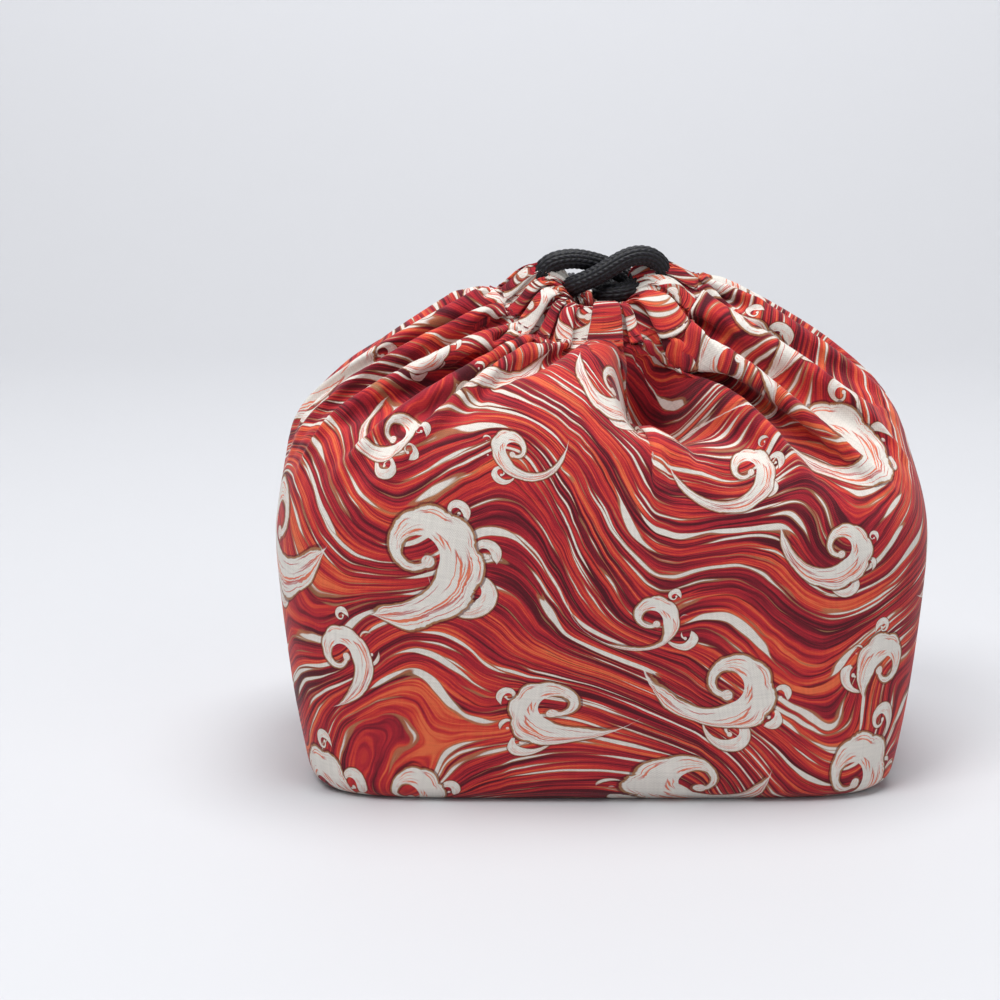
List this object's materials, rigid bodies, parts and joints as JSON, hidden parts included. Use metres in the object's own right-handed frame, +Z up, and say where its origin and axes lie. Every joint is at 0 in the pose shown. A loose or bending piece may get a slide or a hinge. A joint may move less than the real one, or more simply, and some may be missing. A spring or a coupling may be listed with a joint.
{
  "type": "drawstring bento bag",
  "caption": "Lined cotton drawstring lunch bag with a boxed base, drawn closed by two round braided cords that cross over its gathered mouth.",
  "frame": {"origin": "centre of the base, on the surface that the bag stands on", "axes": "+X to the right along the broad front, +Y to the back, +Z up"},
  "size_m": [0.243, 0.1702, 0.1964],
  "materials": {
    "outer_cloth": "matte printed plain-weave cotton",
    "lining_cloth": "matte plain-weave cotton",
    "cord": "matte braided cotton"
  },
  "bodies": {
    "bag": {"front_panel": "outer_cloth", "back_panel": "outer_cloth", "front_lining": "lining_cloth", "back_lining": "lining_cloth", "front_casing": "outer_cloth", "back_casing": "outer_cloth", "left_cord_run": "cord", "right_cord_run": "cord", "left_cord_tail": "cord", "right_cord_tail": "cord", "left_end_knot": "cord", "right_end_knot": "cord"},
    "drawn_cords": {"left_cord_arch": "cord", "right_cord_arch": "cord"}
  },
  "joints": [
    {"name": "cord_pull", "type": "slide", "parent": "bag", "child": "drawn_cords", "axis": [0, 0, 1], "range_m": [0, 0.01]}
  ]
}
